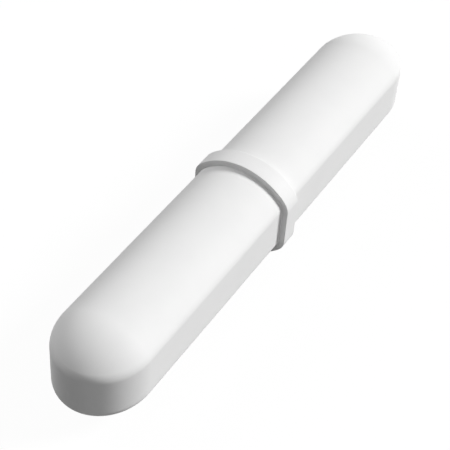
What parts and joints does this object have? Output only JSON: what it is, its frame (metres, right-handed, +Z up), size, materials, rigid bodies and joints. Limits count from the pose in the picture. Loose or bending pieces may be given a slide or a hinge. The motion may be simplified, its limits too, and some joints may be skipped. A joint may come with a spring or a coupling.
{
  "type": "magnetic stir bar",
  "caption": "White PTFE-coated magnetic stir bar with flat sides, arched top and bottom, domed ends and a moulded pivot ring; stirs liquids when a magnet turns below.",
  "frame": {"origin": "lowest point of the pivot ring, below the middle of the bar, where it touches the vessel's floor", "axes": "+X along the bar, +Y across it out of a flat side, +Z up along the spin axis"},
  "size_m": [0.0494, 0.009, 0.0091],
  "materials": {
    "ptfe": "smooth, waxy white fluoropolymer",
    "alnico": "cast, ground magnet alloy"
  },
  "bodies": {
    "root": {"ptfe_jacket": "ptfe", "bar_magnet": "alnico"}
  },
  "joints": []
}
